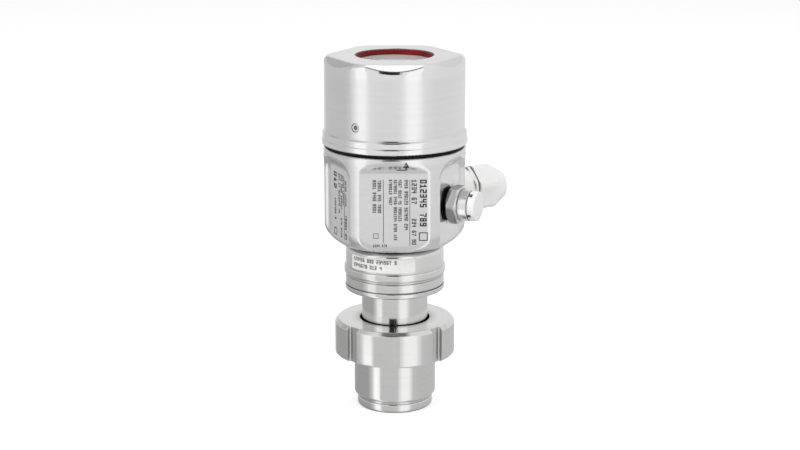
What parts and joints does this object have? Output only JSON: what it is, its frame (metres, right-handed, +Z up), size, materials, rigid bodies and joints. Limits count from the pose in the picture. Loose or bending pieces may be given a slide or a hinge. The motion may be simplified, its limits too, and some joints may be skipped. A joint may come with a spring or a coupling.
{
  "type": "pressure transmitter",
  "caption": "Hygienic stainless pressure transmitter: screw-on cover with sight glass, drawn can with flats, cable gland, vent plug, collar and slotted coupling nut on a round spigot.",
  "frame": {"origin": "centre of the spigot's flat end, on the axis", "axes": "+Z up the axis to the sight glass, -Y to the front flat, +X towards the ports"},
  "size_m": [0.1085, 0.0852, 0.2077],
  "materials": {
    "steel_drawn": "satin drawn stainless sheet",
    "steel_turned": "turned and polished stainless",
    "steel_small": "machined stainless",
    "membrane": "thin pressed foil",
    "red_rubber": "moulded silicone",
    "black_rubber": "moulded rubber",
    "sight_glass": "polished",
    "white_plastic": "moulded nylon",
    "grey_plastic": "moulded",
    "black_plastic": "moulded",
    "screen": "liquid crystal panel",
    "brass": "machined",
    "filter": "porous filter disc"
  },
  "bodies": {
    "process": {"process_adapter": "steel_turned", "process_diaphragm": "membrane", "sensor_cell": "steel_small", "sensor_header": "steel_small", "sensor_lead": "black_rubber", "neck_seal": "black_rubber", "sensor_collar": "steel_turned"},
    "nut": {"coupling_nut": "steel_turned"},
    "turn_lock": {"turn_lock_screw": "steel_small"},
    "housing": {"housing_shell": "steel_drawn", "housing_sleeve": "steel_small", "sleeve_seal": "black_rubber", "snap_ring": "steel_small", "cover_neck_ring": "steel_small", "electronics_insert": "black_plastic", "insert_screws": "steel_small", "sensor_plug": "black_plastic", "terminal_block": "grey_plastic", "terminal_screws": "brass", "ground_screw": "brass", "display_posts": "grey_plastic", "display_housing": "grey_plastic", "display_panel": "screen", "vent_gasket": "black_rubber", "vent_body": "steel_small", "vent_nut": "steel_small", "vent_membrane": "filter", "vent_cap": "white_plastic", "gland_gasket": "black_rubber", "gland_body": "white_plastic", "gland_lock_nut": "white_plastic"},
    "cover_ring": {"cover_seal": "black_rubber"},
    "cover": {"cover_shell": "steel_drawn", "cover_thread_ring": "steel_small", "window_seal": "red_rubber", "window_glass": "sight_glass", "window_frame": "steel_small", "window_retainer": "steel_small"},
    "cover_lock": {"cover_lock_screw": "steel_small"},
    "key_left": {"display_key_left": "black_plastic"},
    "key_middle": {"display_key_middle": "black_plastic"},
    "key_right": {"display_key_right": "black_plastic"},
    "gland_bush": {"gland_seal_insert": "black_rubber"},
    "gland_nut": {"gland_dome_nut": "white_plastic"}
  },
  "joints": [
    {"name": "nut_turn", "type": "hinge", "parent": "process", "child": "nut", "pos_m": [0, 0, 0.042], "axis": [0, 0, 1], "continuous": true},
    {"name": "housing_turn", "type": "hinge", "parent": "process", "child": "housing", "pos_m": [0, 0, 0.1], "axis": [0, 0, 1], "range_deg": [-190, 190]},
    {"name": "turn_lock_turn", "type": "hinge", "parent": "process", "child": "turn_lock", "pos_m": [0, 0.024, 0.092], "axis": [0, 1, 0], "range_deg": [0, 720]},
    {"name": "cover_lift", "type": "slide", "parent": "housing", "child": "cover_ring", "axis": [0, 0, 1], "range_m": [0, 0.018]},
    {"name": "cover_turn", "type": "hinge", "parent": "cover_ring", "child": "cover", "pos_m": [0, 0, 0.16], "axis": [0, 0, 1], "range_deg": [0, 2160]},
    {"name": "cover_lock_turn", "type": "hinge", "parent": "cover", "child": "cover_lock", "pos_m": [-0.02053, -0.03198, 0.172], "axis": [-0.5402, -0.8415, 0], "range_deg": [0, 720]},
    {"name": "gland_squeeze", "type": "slide", "parent": "housing", "child": "gland_bush", "axis": [0.866, 0.5, 0], "range_m": [0, 0.006]},
    {"name": "gland_nut_turn", "type": "hinge", "parent": "gland_bush", "child": "gland_nut", "pos_m": [0.04347, 0.0251, 0.124], "axis": [0.866, 0.5, 0], "range_deg": [0, 1440]},
    {"name": "key_left_press", "type": "slide", "parent": "housing", "child": "key_left", "axis": [0, 0, -1], "range_m": [0, 0.0006], "stiffness_N_per_m": 300},
    {"name": "key_middle_press", "type": "slide", "parent": "housing", "child": "key_middle", "axis": [0, 0, -1], "range_m": [0, 0.0006], "stiffness_N_per_m": 300},
    {"name": "key_right_press", "type": "slide", "parent": "housing", "child": "key_right", "axis": [0, 0, -1], "range_m": [0, 0.0006], "stiffness_N_per_m": 300}
  ],
  "couplings": [
    {"joint": "cover_lift", "follows": "cover_turn", "m_per_rad": 0.00047746},
    {"joint": "gland_squeeze", "follows": "gland_nut_turn", "m_per_rad": 0.00023873}
  ]
}
